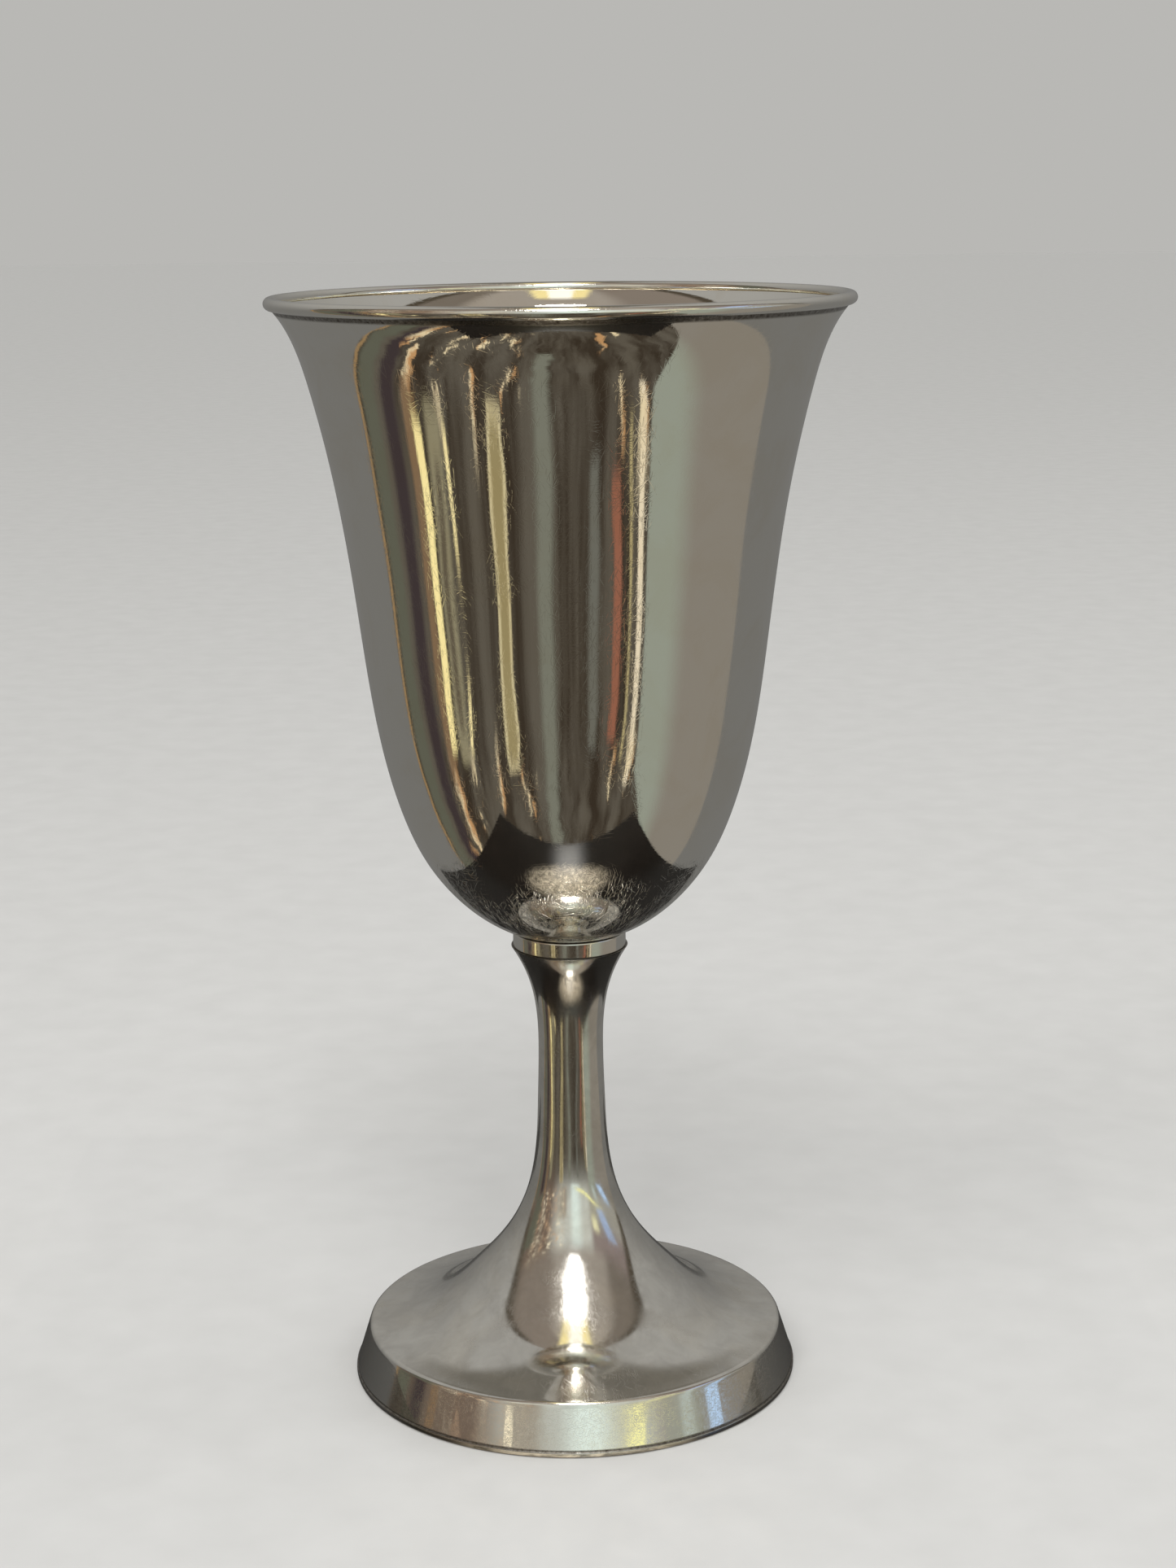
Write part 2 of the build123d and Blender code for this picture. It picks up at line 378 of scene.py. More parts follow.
def turned(name, outline, wobble=1.0):
    """Piece from a closed outline turned about Z, with a share of the unevenness, or one for each point."""
    outline = np.array(outline, float)
    wobble = np.broadcast_to(wobble, len(outline))[:, None]
    angle = np.linspace(0, 2 * pi, SEGMENTS, endpoint=False)
    radius = outline[:, 0][:, None]
    height = outline[:, 1][:, None]
    fade = np.clip(radius / FADE_R, 0, 1)
    away = radius + wobble * fade * hand_wobble(angle[None, :], height)
    verts = np.stack([away * np.sin(angle), -away * np.cos(angle), height + 0 * away], -1) * MM
    rings = len(outline)
    faces = []
    for ring in range(rings):
        low = ring * SEGMENTS
        high = (ring + 1) % rings * SEGMENTS
        for side in range(SEGMENTS):
            nxt = (side + 1) % SEGMENTS
            faces.append((low + side, low + nxt, high + nxt, high + side))
    mesh = bpy.data.meshes.new(name)
    mesh.from_pydata(verts.reshape(-1, 3).tolist(), [], faces)
    weld(mesh)
    mesh.shade_smooth()
    piece = bpy.data.objects.new(name, mesh)
    bpy.context.scene.collection.objects.link(piece)
    return piece


def weld(mesh):
    """Joins the rings that meet on the axis into one point and turns every face outwards."""
    work = bmesh.new()
    work.from_mesh(mesh)
    bmesh.ops.remove_doubles(work, verts=work.verts, dist=WELD_REACH)
    bmesh.ops.recalc_face_normals(work, faces=work.faces)
    work.to_mesh(mesh)
    work.free()


def sharpen(piece):
    """Keeps the crisp corners of a turned piece crisp."""
    piece.data.set_sharp_from_angle(angle=radians(CRISP_ANGLE))


def bowl_outline():
    """The bowl's section: outside from the axis to the bead, then back down the inside."""
    outside = bowl_outside()
    inside = moved_left(outside, WALL)
    inside[0, 0] = 0
    return np.vstack([outside, inside[::-1]])


def seam_radius():
    """Radius at the seam over the foot band, where its slant leads straight into the shoulder's round."""
    start = radians(SHOULDER_START)
    climb = shoulder_centre()[1] + SHOULDER_ROUND * sin(start) - base_mm("stem_foot")
    return radius_mm("stem_foot") - SHOULDER_ROUND * (1 - cos(start)) + climb * tan(start)


def stem_foot_outline():
    """The trumpet's section: up its outside to the thin top edge, back inside, and round the shoulder."""
    outside = stem_outside()
    inside = moved_left(outside, WALL)
    top = top_mm("stem_foot")
    inside = inside[inside[:, 1] < top - MOUTH_TRIM]
    shoulder = arc(shoulder_centre(), SHOULDER_ROUND, SHOULDER_START, 90 - SHOULDER_SLOPE)[:-1]
    edge = (seam_radius(), base_mm("stem_foot"))
    mouth = (inside[-1, 0] + MOUTH_FLARE, top)
    return np.vstack([outside, [mouth], inside[::-1], [edge], shoulder])


def bowl_bottom_z(radius):
    """Height of the bowl's outside at a small radius."""
    outside = bowl_outside()
    low = outside[: np.argmax(outside[:, 0] > radius) + 1]
    return float(np.interp(radius, low[:, 0], low[:, 1]))


def collar_outline():
    """The collar's section: straight side, rounded top edge, and a top that follows the bowl."""
    low = base_mm("collar")
    radius = radius_mm("collar")
    side_top = top_mm("collar") - COLLAR_EDGE
    edge = arc((radius - COLLAR_EDGE, side_top), COLLAR_EDGE, 0, 90)
    seat_r = radius - COLLAR_EDGE - COLLAR_LAND
    seat = [(r, bowl_bottom_z(r)) for r in np.linspace(seat_r, COLLAR_BORE_R, COLLAR_SEAT_POINTS)]
    foot = arc((radius - COLLAR_FOOT_ROUND, low + COLLAR_FOOT_ROUND), COLLAR_FOOT_ROUND, -90, 0)
    return np.vstack([foot, straight(foot[-1], edge[0])[1:-1], edge, seat, [(COLLAR_BORE_R, low)]])


def foot_band_outline():
    """The foot band's section: a slanted strip with square ends."""
    low = base_mm("foot_band")
    high = top_mm("foot_band")
    top_r = seam_radius()
    outer = straight((BAND_FOOT_R, low), (top_r, high))
    inner = straight((top_r - WALL, high), (BAND_FOOT_R - WALL, low))
    return np.vstack([outer, inner])


def foot_wire_outline():
    """The foot wire's section: a flat wire with all its corners rounded."""
    outer = radius_mm("foot_wire")
    inner = outer - FOOT_WIRE_W
    low = base_mm("foot_wire")
    high = top_mm("foot_wire")
    return rounded([(inner, low), (outer, low), (outer, high), (inner, high)], FOOT_WIRE_ROUND)


def rim_outline():
    """The bead's section, a full round."""
    centre = (radius_mm("rim_wire") - RIM_WIRE_R, top_mm("rim_wire") - RIM_WIRE_R)
    return arc(centre, RIM_WIRE_R, 0, 360)[:-1]


# ---------------------------------------------------------------- node helpers


class Nodes:
    """Short names for making the nodes of one tree."""

    def __init__(self, tree, clear=True):
        self.tree = tree
        if clear:
            tree.nodes.clear()

    def link(self, value, socket):
        """Feeds a socket from a number, a colour or another node's output."""
        if isinstance(value, bpy.types.NodeSocket):
            self.tree.links.new(value, socket)
        elif isinstance(value, tuple):
            socket.default_value = (*value, 1)
        elif value is not None:
            socket.default_value = value

    def add(self, kind, **settings):
        node = self.tree.nodes.new(kind)
        for name, value in settings.items():
            setattr(node, name, value)
        return node

    def math(self, operation, a, b=None, clamp=False):
        node = self.add("ShaderNodeMath", operation=operation, use_clamp=clamp)
        for value, socket in zip((a, b), node.inputs):
            self.link(value, socket)
        return node.outputs[0]

    def plus(self, a, b):
        return self.math("ADD", a, b)

    def minus(self, a, b):
        return self.math("SUBTRACT", a, b)

    def times(self, a, b):
        return self.math("MULTIPLY", a, b)

    def most(self, a, b):
        return self.math("MAXIMUM", a, b)

    def size(self, a):
        return self.math("ABSOLUTE", a)

    def squares(self, a, b):
        """Sum of two squares."""
        return self.plus(self.times(a, a), self.times(b, b))

    def mix(self, share, a, b):
        """a where the share is 0, b where it is 1."""
        node = self.add("ShaderNodeMix", data_type="RGBA", blend_type="MIX")
        self.link(share, node.inputs[0])
        self.link(a, node.inputs[6])
        self.link(b, node.inputs[7])
        return node.outputs[2]

    def step(self, value, low, high):
        """0 below low, 1 above high, smooth between them, and the other way round where low is above high."""
        node = self.add("ShaderNodeMapRange", interpolation_type="SMOOTHSTEP")
        self.link(value, node.inputs[0])
        node.inputs[1].default_value = low
        node.inputs[2].default_value = high
        return node.outputs[0]

    def remap(self, value, low, high, to_low, to_high):
        """The value's range from low to high spread over another range."""
        node = self.add("ShaderNodeMapRange")
        for number, socket in zip((value, low, high, to_low, to_high), node.inputs):
            self.link(number, socket)
        return node.outputs[0]

    def vector(self, x, y, z):
        node = self.add("ShaderNodeCombineXYZ")
        for value, socket in zip((x, y, z), node.inputs):
            self.link(value, socket)
        return node.outputs[0]

    def split(self, vector):
        """The x, y and z of a vector."""
        node = self.add("ShaderNodeSeparateXYZ")
        self.link(vector, node.inputs[0])
        return node.outputs

    def noise(self, vector, scale, detail=2.0, roughness=0.5, distortion=0.0):
        node = self.add("ShaderNodeTexNoise")
        self.link(vector, node.inputs["Vector"])
        node.inputs["Scale"].default_value = scale
        node.inputs["Detail"].default_value = detail
        node.inputs["Roughness"].default_value = roughness
        node.inputs["Distortion"].default_value = distortion
        return node.outputs["Fac"]

    def bump(self, height, distance):
        node = self.add("ShaderNodeBump")
        node.inputs["Strength"].default_value = 1.0
        node.inputs["Distance"].default_value = distance
        self.link(height, node.inputs["Height"])
        return node.outputs[0]

    def shader(self, **settings):
        """Principled shader with constants on its own sockets; an underscore in a name stands for a space."""
        node = self.add("ShaderNodeBsdfPrincipled")
        for name, value in settings.items():
            self.link(value, node.inputs[name.replace("_", " ")])
        return node

    def output(self, shader, kind="ShaderNodeOutputMaterial"):
        """Output node for the whole shader."""
        out = self.add(kind)
        self.link(shader.outputs[0], out.inputs["Surface"])


def new_material(name):
    """A material and the empty tree of its nodes."""
    material = bpy.data.materials.new(name)
    material.use_nodes = True
    return material, Nodes(material.node_tree)


def surface_places(n):
    """Object coordinates in millimetres, as (position, angle about the axis, radius, height)."""
    scaled = n.add("ShaderNodeVectorMath", operation="SCALE")
    n.link(n.add("ShaderNodeTexCoord").outputs["Object"], scaled.inputs[0])
    scaled.inputs["Scale"].default_value = 1 / MM
    x, y, z = n.split(scaled.outputs[0])
    angle = n.math("ARCTAN2", x, n.times(y, -1.0))
    radius = n.math("SQRT", n.squares(x, y))
    return scaled.outputs[0], angle, radius, z


# ---------------------------------------------------------------- materials


def scratches(n, around, height, families):
    """Hairline scratches as 0 to 1 marks."""
    marks = None
    for lean, width, length in families:
        ahead = cos(radians(lean))
        aside = sin(radians(lean))
        along = n.plus(n.times(around, ahead), n.times(height, aside))
        across = n.minus(n.times(height, ahead), n.times(around, aside))
        place = n.vector(n.math("DIVIDE", along, length), n.math("DIVIDE", across, width), lean)
        lines = n.step(n.noise(place, 1.0, detail=0.0), 0.66, 0.78)
        marks = lines if marks is None else n.most(marks, lines)
    return marks


def patchy_scratches(n, place, around, height, families, worn_below):
    """Scratches that come in patches, and of which few show above the height that is worn."""
    patch = n.step(n.noise(place, PATCH_SCALE, detail=2.0), 0.35, 0.60)
    marks = n.times(scratches(n, around, height, families), n.remap(patch, 0, 1, 0.25, 1.0))
    if worn_below:
        worn = n.step(height, worn_below + WORN_EDGE, worn_below)
        marks = n.times(marks, n.remap(worn, 0, 1, 0.07, 1.0))
    return marks


def buffing(n, around, radius, height, brushed_up):
    """Fine buffing lines, round the piece or up it."""
    if brushed_up:
        place = n.vector(n.times(around, BUFFED_ACROSS), n.times(height, BUFFED_ALONG), 0.0)
    else:
        place = n.vector(n.times(around, BUFFED_ALONG), n.times(height, BUFFED_ACROSS), radius)
    return n.noise(place, 1.0, detail=3.0, roughness=0.7)


def painted_seam_shade(n, radius, height, seams):
    """Painted shade in the crevices round the seams between two pieces, each given by its radius, height and
    reach.
    """
    dark = None
    for seam_r, seam_z, reach in seams:
        out = n.minus(radius, seam_r)
        up = n.minus(height, seam_z)
        away = n.math("SQRT", n.squares(out, up))
        near = n.step(away, reach, reach * 0.35)
        dark = near if dark is None else n.most(dark, near)
    return dark


def seam_shade_and_tarnish(n, place, radius, height, seams, spots):
    """0 to 1 darkening: painted shade along the seams, and with spots also real tarnish as specks and soft
    clouds.
    """
    fine = n.noise(place, FINE_SCALE, detail=4.0, roughness=0.65)
    dark = n.times(painted_seam_shade(n, radius, height, seams), n.remap(fine, 0.25, 0.75, 0.55, 1.0))
    if spots:
        speck = n.step(n.noise(place, SPECK_SCALE, detail=4.0, roughness=0.75), 0.62, 0.80)
        cloud = n.noise(place, CLOUD_SCALE, detail=3.0, roughness=0.6, distortion=0.4)
        cloud = n.remap(cloud, 0.35, 0.65, 0.0, 0.55)
        dark = n.most(dark, n.times(n.most(speck, cloud), spots))
    return dark


def silver(name, polish, girth, seams, families, spots=0.0, brushed_up=False, worn_below=None):
    """Polished silver plate: smudged gloss, buffing lines, hairline scratches and painted shade along the
    seams in tarnish's colour.
    """
    material, n = new_material(name)
    place, angle, radius, height = surface_places(n)
    around = n.times(angle, girth)

    smudge = n.noise(place, SMUDGE_SCALE, detail=5.0, roughness=0.62, distortion=0.7)
    film = n.step(smudge, 0.42, 0.68)
    marks = patchy_scratches(n, place, around, height, families, worn_below)
    brush = buffing(n, around, radius, height, brushed_up)
    # Painted shade along the seams, with real tarnish specks and clouds where spots are given
    dark = seam_shade_and_tarnish(n, place, radius, height, seams, spots)

    shader = n.shader(Metallic=1.0)
    colour = n.mix(n.times(film, 0.7), CLEAN_SILVER, FILMED_SILVER)
    # The painted seam shade and the tarnish darken the colour
    n.link(n.mix(dark, colour, TARNISH_AND_SEAM_SHADE), shader.inputs["Base Color"])

    rough = n.remap(film, 0.0, 1.0, polish.gloss, polish.gloss + polish.haze)
    rough = n.plus(rough, n.times(marks, polish.scratch))
    rough = n.plus(rough, n.remap(brush, 0.3, 0.7, -0.012, 0.012))
    rough = n.math("ADD", rough, n.times(dark, 0.35), clamp=True)
    n.link(rough, shader.inputs["Roughness"])

    relief = n.minus(n.times(brush, 0.10), marks)
    n.link(n.bump(relief, polish.relief * MM), shader.inputs["Normal"])
    n.output(shader)
    return material


def turned_metal(name, colour, rough, ring_pitch):
    """Unplated metal straight from the lathe: tool rings, handling stains and dull patches."""
    material, n = new_material(name)
    place, _, radius, height = surface_places(n)
    stain = n.noise(place, 0.35, detail=4.0, roughness=0.6)
    rings = n.math("SINE", n.times(n.plus(radius, height), 2 * pi / ring_pitch))
    shader = n.shader(Metallic=1.0)
    dull = tuple(0.55 * c for c in colour)
    n.link(n.mix(n.step(stain, 0.45, 0.7), colour, dull), shader.inputs["Base Color"])
    n.link(n.remap(stain, 0.3, 0.7, rough, rough + 0.2), shader.inputs["Roughness"])
    n.link(n.bump(rings, RING_DEPTH * MM), shader.inputs["Normal"])
    n.output(shader)
    return material


def plain_paint(name, dark, light, grain, rough=0.8, shine=0.5):
    """Paint with a faint grain between two close tones."""
    material, n = new_material(name)
    place = n.add("ShaderNodeTexCoord").outputs["Object"]
    shade = n.remap(n.noise(place, grain, detail=3.0), 0.3, 0.7, 0.0, 1.0)
    shader = n.shader(Roughness=rough, Specular_IOR_Level=shine)
    n.link(n.mix(shade, dark, light), shader.inputs["Base Color"])
    n.output(shader)
    return material


def card_paint_with_painted_glow():
    """Black lacquer with a painted warm patch of light in front of the foot, made to glow by emission."""
    material = plain_paint("card_black_painted_glow", CARD_DARK, CARD_LIGHT, grain=60.0, rough=0.25, shine=0.6)
    n = Nodes(material.node_tree, clear=False)
    place = n.add("ShaderNodeTexCoord").outputs["Object"]
    x, y, _ = n.split(place)
    across = n.math("DIVIDE", x, PAINTED_GLOW_HALF_WIDTH)
    along = n.math("DIVIDE", n.minus(y, PAINTED_GLOW_Y), PAINTED_GLOW_HALF_DEPTH)
    patch = n.step(n.squares(across, along), 1.0, 0.0)
    flecks = n.noise(place, 190.0, detail=4.0, roughness=0.75, distortion=0.6)
    broken = n.remap(n.step(flecks, 0.36, 0.66), 0.0, 1.0, 0.30, 1.55)
    shader = n.tree.nodes["Principled BSDF"]
    # The patch glows: painted light, broken up by flecks
    n.link(CARD_PAINTED_GLOW, shader.inputs["Emission Color"])
    n.link(n.times(patch, broken), shader.inputs["Emission Strength"])
    return material


# ---------------------------------------------------------------- the room that the silver reflects

# Azimuths and elevations are in degrees as seen from the object: azimuth 0 is towards the camera, and the
# picture's right is positive


def look_direction(n):
    """Sideways share, azimuth and elevation of a direction."""
    x, y, z = n.split(n.add("ShaderNodeTexCoord").outputs["Generated"])
    azimuth = n.times(n.math("ARCTAN2", x, n.times(y, -1.0)), 180 / pi)
    elevation = n.times(n.math("ARCSINE", z), 180 / pi)
    return n.size(x), azimuth, elevation


def room_noise(n, bearing, elevation, across, up, layer, **settings):
    """Noise over the room, with so many waves per degree across and up, and its own pattern for a layer."""
    place = n.vector(n.times(bearing, across), n.times(elevation, up), layer)
    return n.noise(place, 1.0, **settings)


def swayed(n, azimuth, elevation):
    """Azimuth as hand-hung boards follow it, which are never quite straight, and less so low down."""
    unrest = n.remap(elevation, -22.0, -48.0, 2.2, 12.0)
    noise = room_noise(n, azimuth, elevation, 0.045, 0.15, 0.0, detail=3.0, roughness=0.6)
    sway = n.minus(noise, 0.5)
    return n.plus(azimuth, n.times(sway, unrest))


def mottling(n, bearing, elevation):
    """0 to 1 patches that lie all over the room."""
    noise = room_noise(n, bearing, elevation, 0.09, 0.03, 4.0, detail=3.0, roughness=0.6)
    return n.step(noise, 0.35, 0.65)


def window(n, value, low, high, soft):
    """1 between low and high, fading to 0 over the softness at both ends."""
    rise = n.step(value, low - soft, low + soft)
    fall = n.step(value, high + soft, high - soft)
    return n.times(rise, fall)


def hung(n, room, boards, bearing, elevation):
    """The room with a list of boards hung in it."""
    for left, right, bottom, top, lean, soft, colour in boards:
        upright = n.minus(bearing, n.times(n.minus(elevation, bottom), lean))
        height = window(n, elevation, bottom, top, BOARD_END_SOFTNESS)
        room = n.mix(n.times(window(n, upright, left, right, soft), height), room, colour)
    return room


def bare_room(n, mottle, bearing, elevation):
    """Dark low down, and above that dark on the left, pale in front and grey on the right."""
    room = n.mix(mottle, ROOM_DARK, ROOM_LIGHT)
    front = n.mix(n.step(elevation, -14.0, 16.0), FRONT_LOW, FRONT_HIGH)
    right = n.mix(n.step(elevation, 18.0, 34.0), RIGHT_LOW, RIGHT_HIGH)
    upper = n.mix(n.step(bearing, -56.0, -30.0), LEFT_UPPER, front)
    upper = n.mix(n.step(bearing, 34.0, 46.0), upper, right)
    return n.mix(n.step(elevation, -14.0, 8.0), room, upper)


def with_large_board(n, room, azimuth, elevation):
    """The room with the large board on the right, whose foot looks lower the further round it is."""
    foot_line = n.plus(elevation, n.times(n.minus(azimuth, 46.0), 0.85))
    board = n.times(window(n, azimuth, 45.0, 130.0, 0.6), n.step(foot_line, -35.0, -33.5))
    board = n.times(board, n.step(elevation, 9.0, 2.0))
    tone = n.mix(n.step(azimuth, 58.0, 74.0), LARGE_BOARD_NEAR, LARGE_BOARD_FAR)
    return n.mix(board, room, tone)


def with_low_spots(n, room, mottle, azimuth, bearing, elevation):
    """The room with small bright things low down, on both sides."""
    noise = room_noise(n, bearing, elevation, 0.12, 0.055, 9.0, detail=3.0, roughness=0.55, distortion=0.5)
    off_centre = n.size(n.minus(n.size(azimuth), 55.0))
    low_room = n.times(n.step(elevation, -26.0, -34.0), n.step(off_centre, 36.0, 30.0))
    spots = n.times(n.times(n.step(noise, 0.57, 0.61), low_room), n.step(azimuth, 46.0, 42.0))
    tone = n.mix(n.step(mottle, 0.3, 0.7), SPOT_DARK, SPOT_LIGHT)
    return n.mix(spots, room, tone)


def with_ceiling(n, room, sideways, azimuth, elevation):
    """The room with its ceiling, darker towards both sides, and a lamp straight overhead."""
    ceiling = n.mix(n.step(azimuth, -48.0, -28.0), CEILING_LEFT, CEILING_MIDDLE)
    ceiling = n.mix(n.step(azimuth, 54.0, 68.0), ceiling, CEILING_RIGHT)
    room = n.mix(n.step(elevation, 34.0, 48.0), room, ceiling)
    lamp = n.times(n.step(elevation, 65.0, 70.0), n.step(sideways, 0.15, 0.11))
    tone = n.mix(n.step(sideways, 0.07, 0.045), LAMP_SIDES, LAMP_CORE)
    return n.mix(lamp, room, tone)


def with_clutter(n, room, mottle, azimuth, bearing, elevation):
    """The room with clutter from eye level up on the left."""
    noise = room_noise(n, bearing, elevation, 0.13, 0.8, 17.0, detail=2.0, roughness=0.5)
    corner = n.times(window(n, azimuth, -84.0, -22.0, 4.0), window(n, elevation, 4.0, 40.0, 3.0))
    clutter = n.times(n.step(noise, 0.55, 0.59), corner)
    tone = n.mix(n.step(mottle, 0.3, 0.7), CLUTTER_DARK, CLUTTER_LIGHT)
    return n.mix(clutter, room, tone)


def with_backdrop(n, room, sideways, azimuth, elevation):
    """The room with the grey backdrop behind the object, which wraps further round high up than low down."""
    wrap = n.remap(elevation, 5.0, 71.0, 109.5, 86.0)
    past_edge = n.minus(n.size(azimuth), wrap)
    edge = n.times(n.step(past_edge, -9.0, -4.0), window(n, elevation, 7.0, 70.0, 4.0))
    room = n.mix(edge, room, BACKDROP_EDGE)
    backdrop = n.mix(n.step(elevation, -15.0, 50.0), BACKDROP_LOW, BACKDROP_HIGH)
    gap = n.times(n.step(sideways, 0.24, 0.15), n.step(elevation, 30.0, 40.0))
    backdrop = n.mix(gap, backdrop, BACKDROP_GAP)
    behind = n.times(n.step(past_edge, -0.8, 0.8), n.step(elevation, 84.0, 76.0))
    return n.mix(behind, room, backdrop)


def studio_world():
    """Plain pale surround, and for reflections a studio of boards and gaps before a plain grey backdrop."""
    world = bpy.data.worlds.new("studio")
    world.use_nodes = True
    bpy.context.scene.world = world
    n = Nodes(world.node_tree)
    sideways, azimuth, elevation = look_direction(n)
    bearing = swayed(n, azimuth, elevation)
    mottle = mottling(n, bearing, elevation)

    room = bare_room(n, mottle, bearing, elevation)
    room = hung(n, room, BOARDS, bearing, elevation)
    room = with_large_board(n, room, azimuth, elevation)
    room = hung(n, room, RIGHT_WINDOWS, bearing, elevation)
    room = with_low_spots(n, room, mottle, azimuth, bearing, elevation)
    room = with_ceiling(n, room, sideways, azimuth, elevation)
    room = with_clutter(n, room, mottle, azimuth, bearing, elevation)
    room = with_backdrop(n, room, sideways, azimuth, elevation)

    rays = n.add("ShaderNodeLightPath")
    surround = n.mix(rays.outputs["Is Camera Ray"], SURROUND, HORIZON)
    background = n.add("ShaderNodeBackground")
    n.link(n.mix(rays.outputs["Is Glossy Ray"], surround, room), background.inputs["Color"])
    n.output(background, "ShaderNodeOutputWorld")


# ---------------------------------------------------------------- the stage


def rectangle(half_width, near, far):
    """Corners of a level rectangle at the floor."""
    return [(-half_width, near, 0), (half_width, near, 0), (half_width, far, 0), (-half_width, far, 0)]


def flat_sheet(name, corners, hole=0.0):
    """Flat stage sheet through four corners, in metres, with a round hole of a given radius in its middle."""
    mesh = bpy.data.meshes.new(name)
    faces = [tuple(range(len(corners)))]
    if hole:
        # The hole's points start in line with the first corner, and each side has a quarter of them
        sides = HOLE_SIDES // 4
        turns = [2 * pi * (i - HOLE_SIDES * 3 // 8) / HOLE_SIDES for i in range(HOLE_SIDES)]
        corners = list(corners) + [(hole * cos(t), hole * sin(t), 0) for t in turns]
        faces = []
        for side in range(4):
            rim = [4 + (side * sides + step) % HOLE_SIDES for step in range(sides + 1)]
            faces.append((side, (side + 1) % 4, *reversed(rim)))
    mesh.from_pydata(corners, [], faces)
    sheet = bpy.data.objects.new(name, mesh)
    bpy.context.scene.collection.objects.link(sheet)
    return sheet


def softbox(name, centre, width, height, power, aim=OBJECT_MIDDLE, seen=True):
    """Rectangular soft light that faces a point, and that reflections may or may not see."""
    lamp = bpy.data.lights.new(name, "AREA")
    lamp.shape = "RECTANGLE"
    lamp.size = width
    lamp.size_y = height
    lamp.energy = power
    light = bpy.data.objects.new(name, lamp)
    light.location = centre
    light.rotation_euler = (Vector(aim) - Vector(centre)).to_track_quat("-Z", "Y").to_euler()
    light.visible_glossy = seen
    light.visible_camera = False
    bpy.context.scene.collection.objects.link(light)


def dark_card():
    """Black card round the foot, which only reflections see, so that the undersides keep their depth."""
    near, far = CARD_DEPTH
    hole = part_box("foot_wire")[1].x
    card = flat_sheet("dark_card", rectangle(CARD_HALF_WIDTH, near, far), hole)
    card.data.materials.append(card_paint_with_painted_glow())
    card.visible_camera = False
    card.visible_diffuse = False
    card.visible_shadow = False
    card.visible_transmission = False


def stage():
    """Pale floor, dark card, the room and the lights."""
    scene = bpy.context.scene
    scene.view_settings.view_transform = "Standard"
    scene.cycles.max_bounces = MIRROR_BOUNCES
    scene.cycles.glossy_bounces = MIRROR_BOUNCES
    floor = flat_sheet("pale_floor", rectangle(FLOOR_HALF, -FLOOR_HALF, FLOOR_HALF))
    floor.data.materials.append(plain_paint("pale_paint", FLOOR_DARK, FLOOR_LIGHT, grain=90.0))
    floor.visible_glossy = False
    dark_card()
    studio_world()
    softbox("key_panel", (-0.75, -0.9, 1.4), width=0.6, height=0.6, power=5.0, seen=False)
    softbox("side_panel", (1.2, 0.3, 1.0), width=0.6, height=0.9, power=2.5, seen=False)
    softbox("ceiling_panel", (0.0, -0.66, 1.0), width=0.28, height=0.44, power=4.4, aim=(0.0, -0.66, 0.0))


def camera():
    """Camera at its place, turned by its yaw, pitch and roll."""
    pitch = radians(CAMERA_PITCH)
    yaw = radians(CAMERA_YAW)
    roll = radians(CAMERA_ROLL)
    ahead = Vector((sin(yaw) * cos(pitch), cos(yaw) * cos(pitch), sin(pitch)))
    level_right = Vector((cos(yaw), -sin(yaw), 0))
    level_up = level_right.cross(ahead)
    right = cos(roll) * level_right + sin(roll) * level_up
    up = cos(roll) * level_up - sin(roll) * level_right
    data = bpy.data.cameras.new("camera")
    data.lens = LENS
    data.sensor_width = SENSOR_WIDTH
    data.clip_start = CLIP_START
    made = bpy.data.objects.new("camera", data)
    turn = Matrix((right, up, -ahead)).transposed().to_4x4()
    made.matrix_world = Matrix.Translation(CAMERA_AT) @ turn
    bpy.context.scene.collection.objects.link(made)
    bpy.context.scene.camera = made


# ---------------------------------------------------------------- the chalice


def fit(piece, node, material):
    """Puts a piece in a CAD node's place."""
    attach(piece, "root")
    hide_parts(node)
    piece.data.materials.append(material)
    return piece


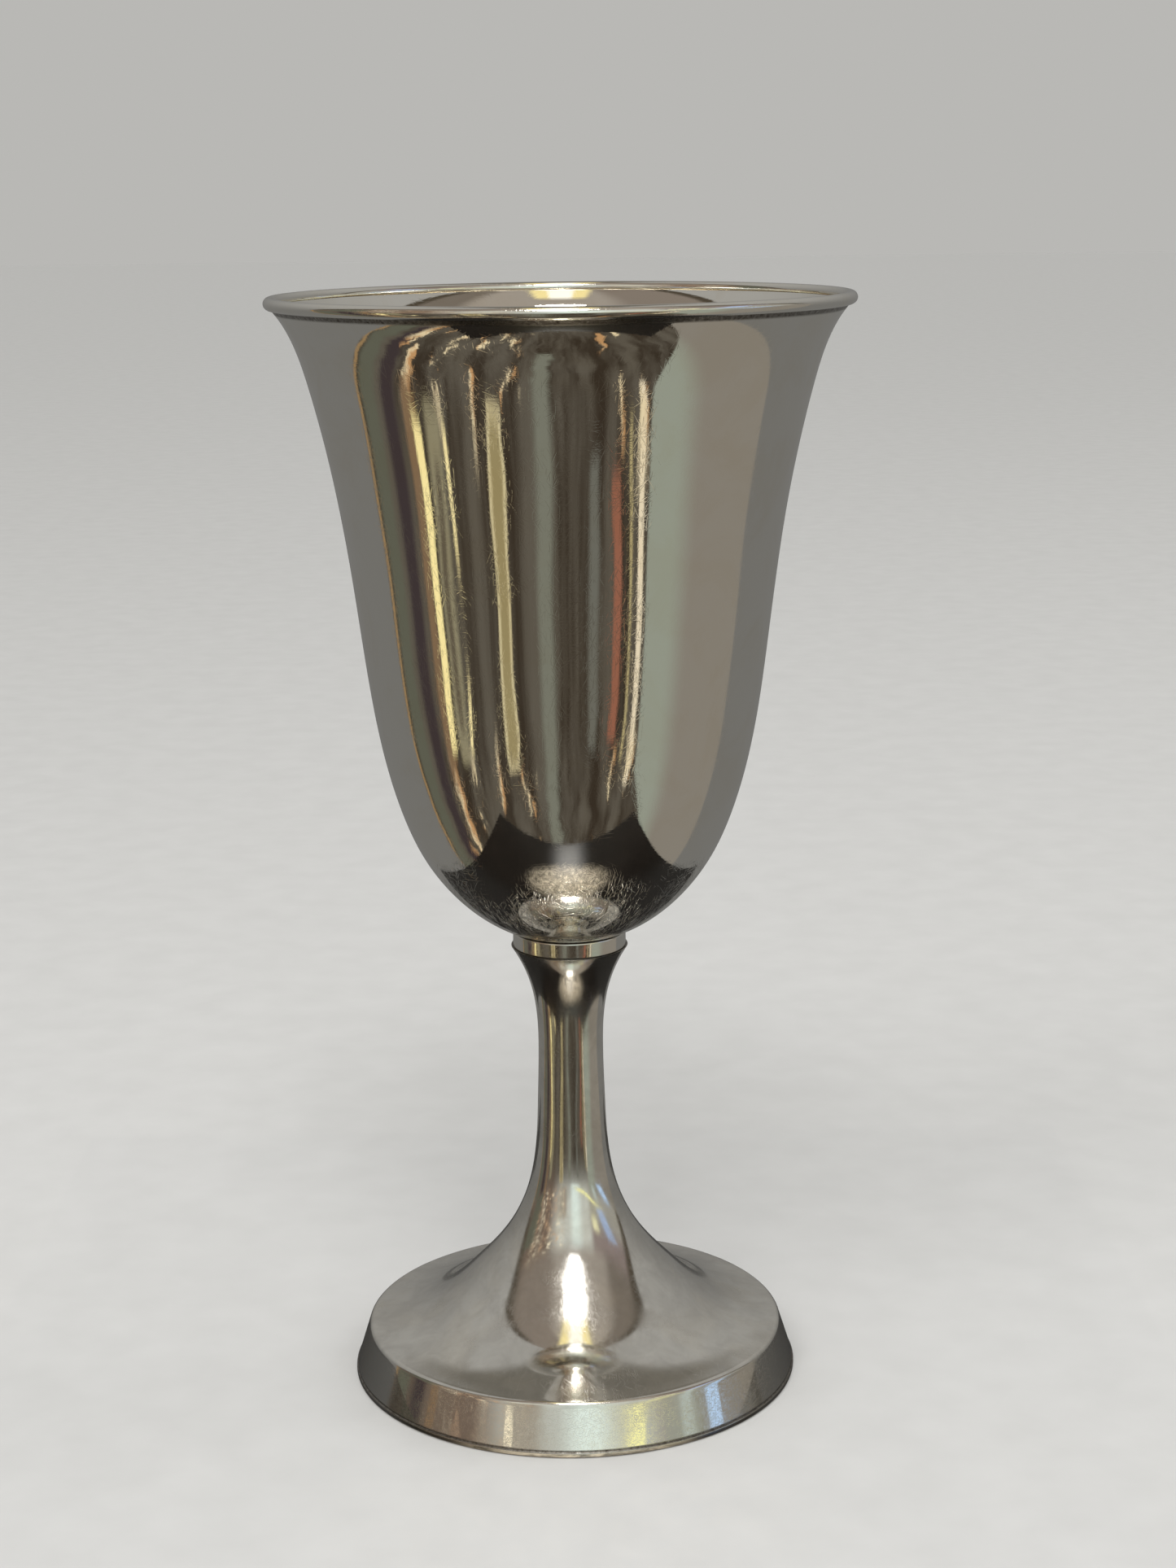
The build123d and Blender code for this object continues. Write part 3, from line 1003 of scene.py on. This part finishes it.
def bowl_pieces():
    """The bowl with its quieter inside, and the bead along its lip."""
    rim = radius_mm("rim_wire")
    # Seams that get painted shade: where the bowl meets the collar, and under the bead
    seams = [(radius_mm("collar") - 0.3, top_mm("collar") + 0.15, 0.75), (rim - 1.5, LIP_Z - 0.4, 0.8)]
    polished = silver("bowl_silver", BOWL_POLISH, 30.0, seams, CROSSED, worn_below=82.0)
    section = bowl_outline()
    wobble = np.where(np.arange(len(section)) < len(section) // 2, 1.0, INSIDE_WOBBLE)
    sharpen(fit(turned("bowl_shell", section, wobble), "bowl", polished))

    # Painted shade on the bead where it meets the lip
    polished = silver("rim_silver", RIM_POLISH, 44.0, [(rim - 1.4, LIP_Z - 0.2, 0.9)], FINE_CROSS)
    fit(turned("rim_bead", rim_outline()), "rim_wire", polished)


def collar_piece():
    """The collar, with painted shade where it meets the bowl and the stem."""
    radius = radius_mm("collar")
    # Seams that get painted shade: under the bowl and over the stem
    seams = [(radius - 0.4, top_mm("collar") + 0.1, 0.55), (radius, top_mm("stem_foot"), 0.22)]
    polished = silver("collar_silver", COLLAR_POLISH, 9.0, seams, FINE_CROSS)
    ring = turned("collar_ring", collar_outline(), COLLAR_WOBBLE)
    sharpen(fit(ring, "collar", polished))


def foot_pieces():
    """The stem with the foot's top, the slanted band and the wire below it."""
    # Painted shade round the stem's top edge
    seams = [(9.0, top_mm("stem_foot"), 0.3)]
    polished = silver("stem_silver", STEM_POLISH, 20.0, seams, FINE_CROSS, spots=0.30)
    sharpen(fit(turned("stem_and_foot", stem_foot_outline()), "stem_foot", polished))

    wire_top = top_mm("foot_wire")
    # Painted shade where the band meets the wire, also used for the wire
    seams = [(BAND_FOOT_R, wire_top, 0.35)]
    polished = silver("band_silver", BAND_POLISH, 35.0, seams, FINE_CROSS, brushed_up=True)
    sharpen(fit(turned("foot_side", foot_band_outline()), "foot_band", polished))

    polished = silver("wire_silver", WIRE_POLISH, 35.0, [(BAND_FOOT_R, wire_top, 0.4)], FINE_CROSS)
    fit(turned("foot_edge_wire", foot_wire_outline()), "foot_wire", polished)


def inner_nodes():
    """Lathe-turned metal on the CAD's own meshes of the hidden pieces."""
    brass = turned_metal("lathe_brass", BRASS, rough=0.28, ring_pitch=0.35)
    steel = turned_metal("zinc_steel", ZINC, rough=0.35, ring_pitch=0.5)
    for material, nodes in (
        (brass, ("bowl_boss", "stem_cap", "clamp_washer")),
        (steel, ("tie_stud", "spring_washer", "clamp_nut")),
    ):
        for node in nodes:
            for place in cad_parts[node].material_slots:
                place.link = "OBJECT"
                place.material = material


camera()
stage()
bowl_pieces()
collar_piece()
foot_pieces()
inner_nodes()
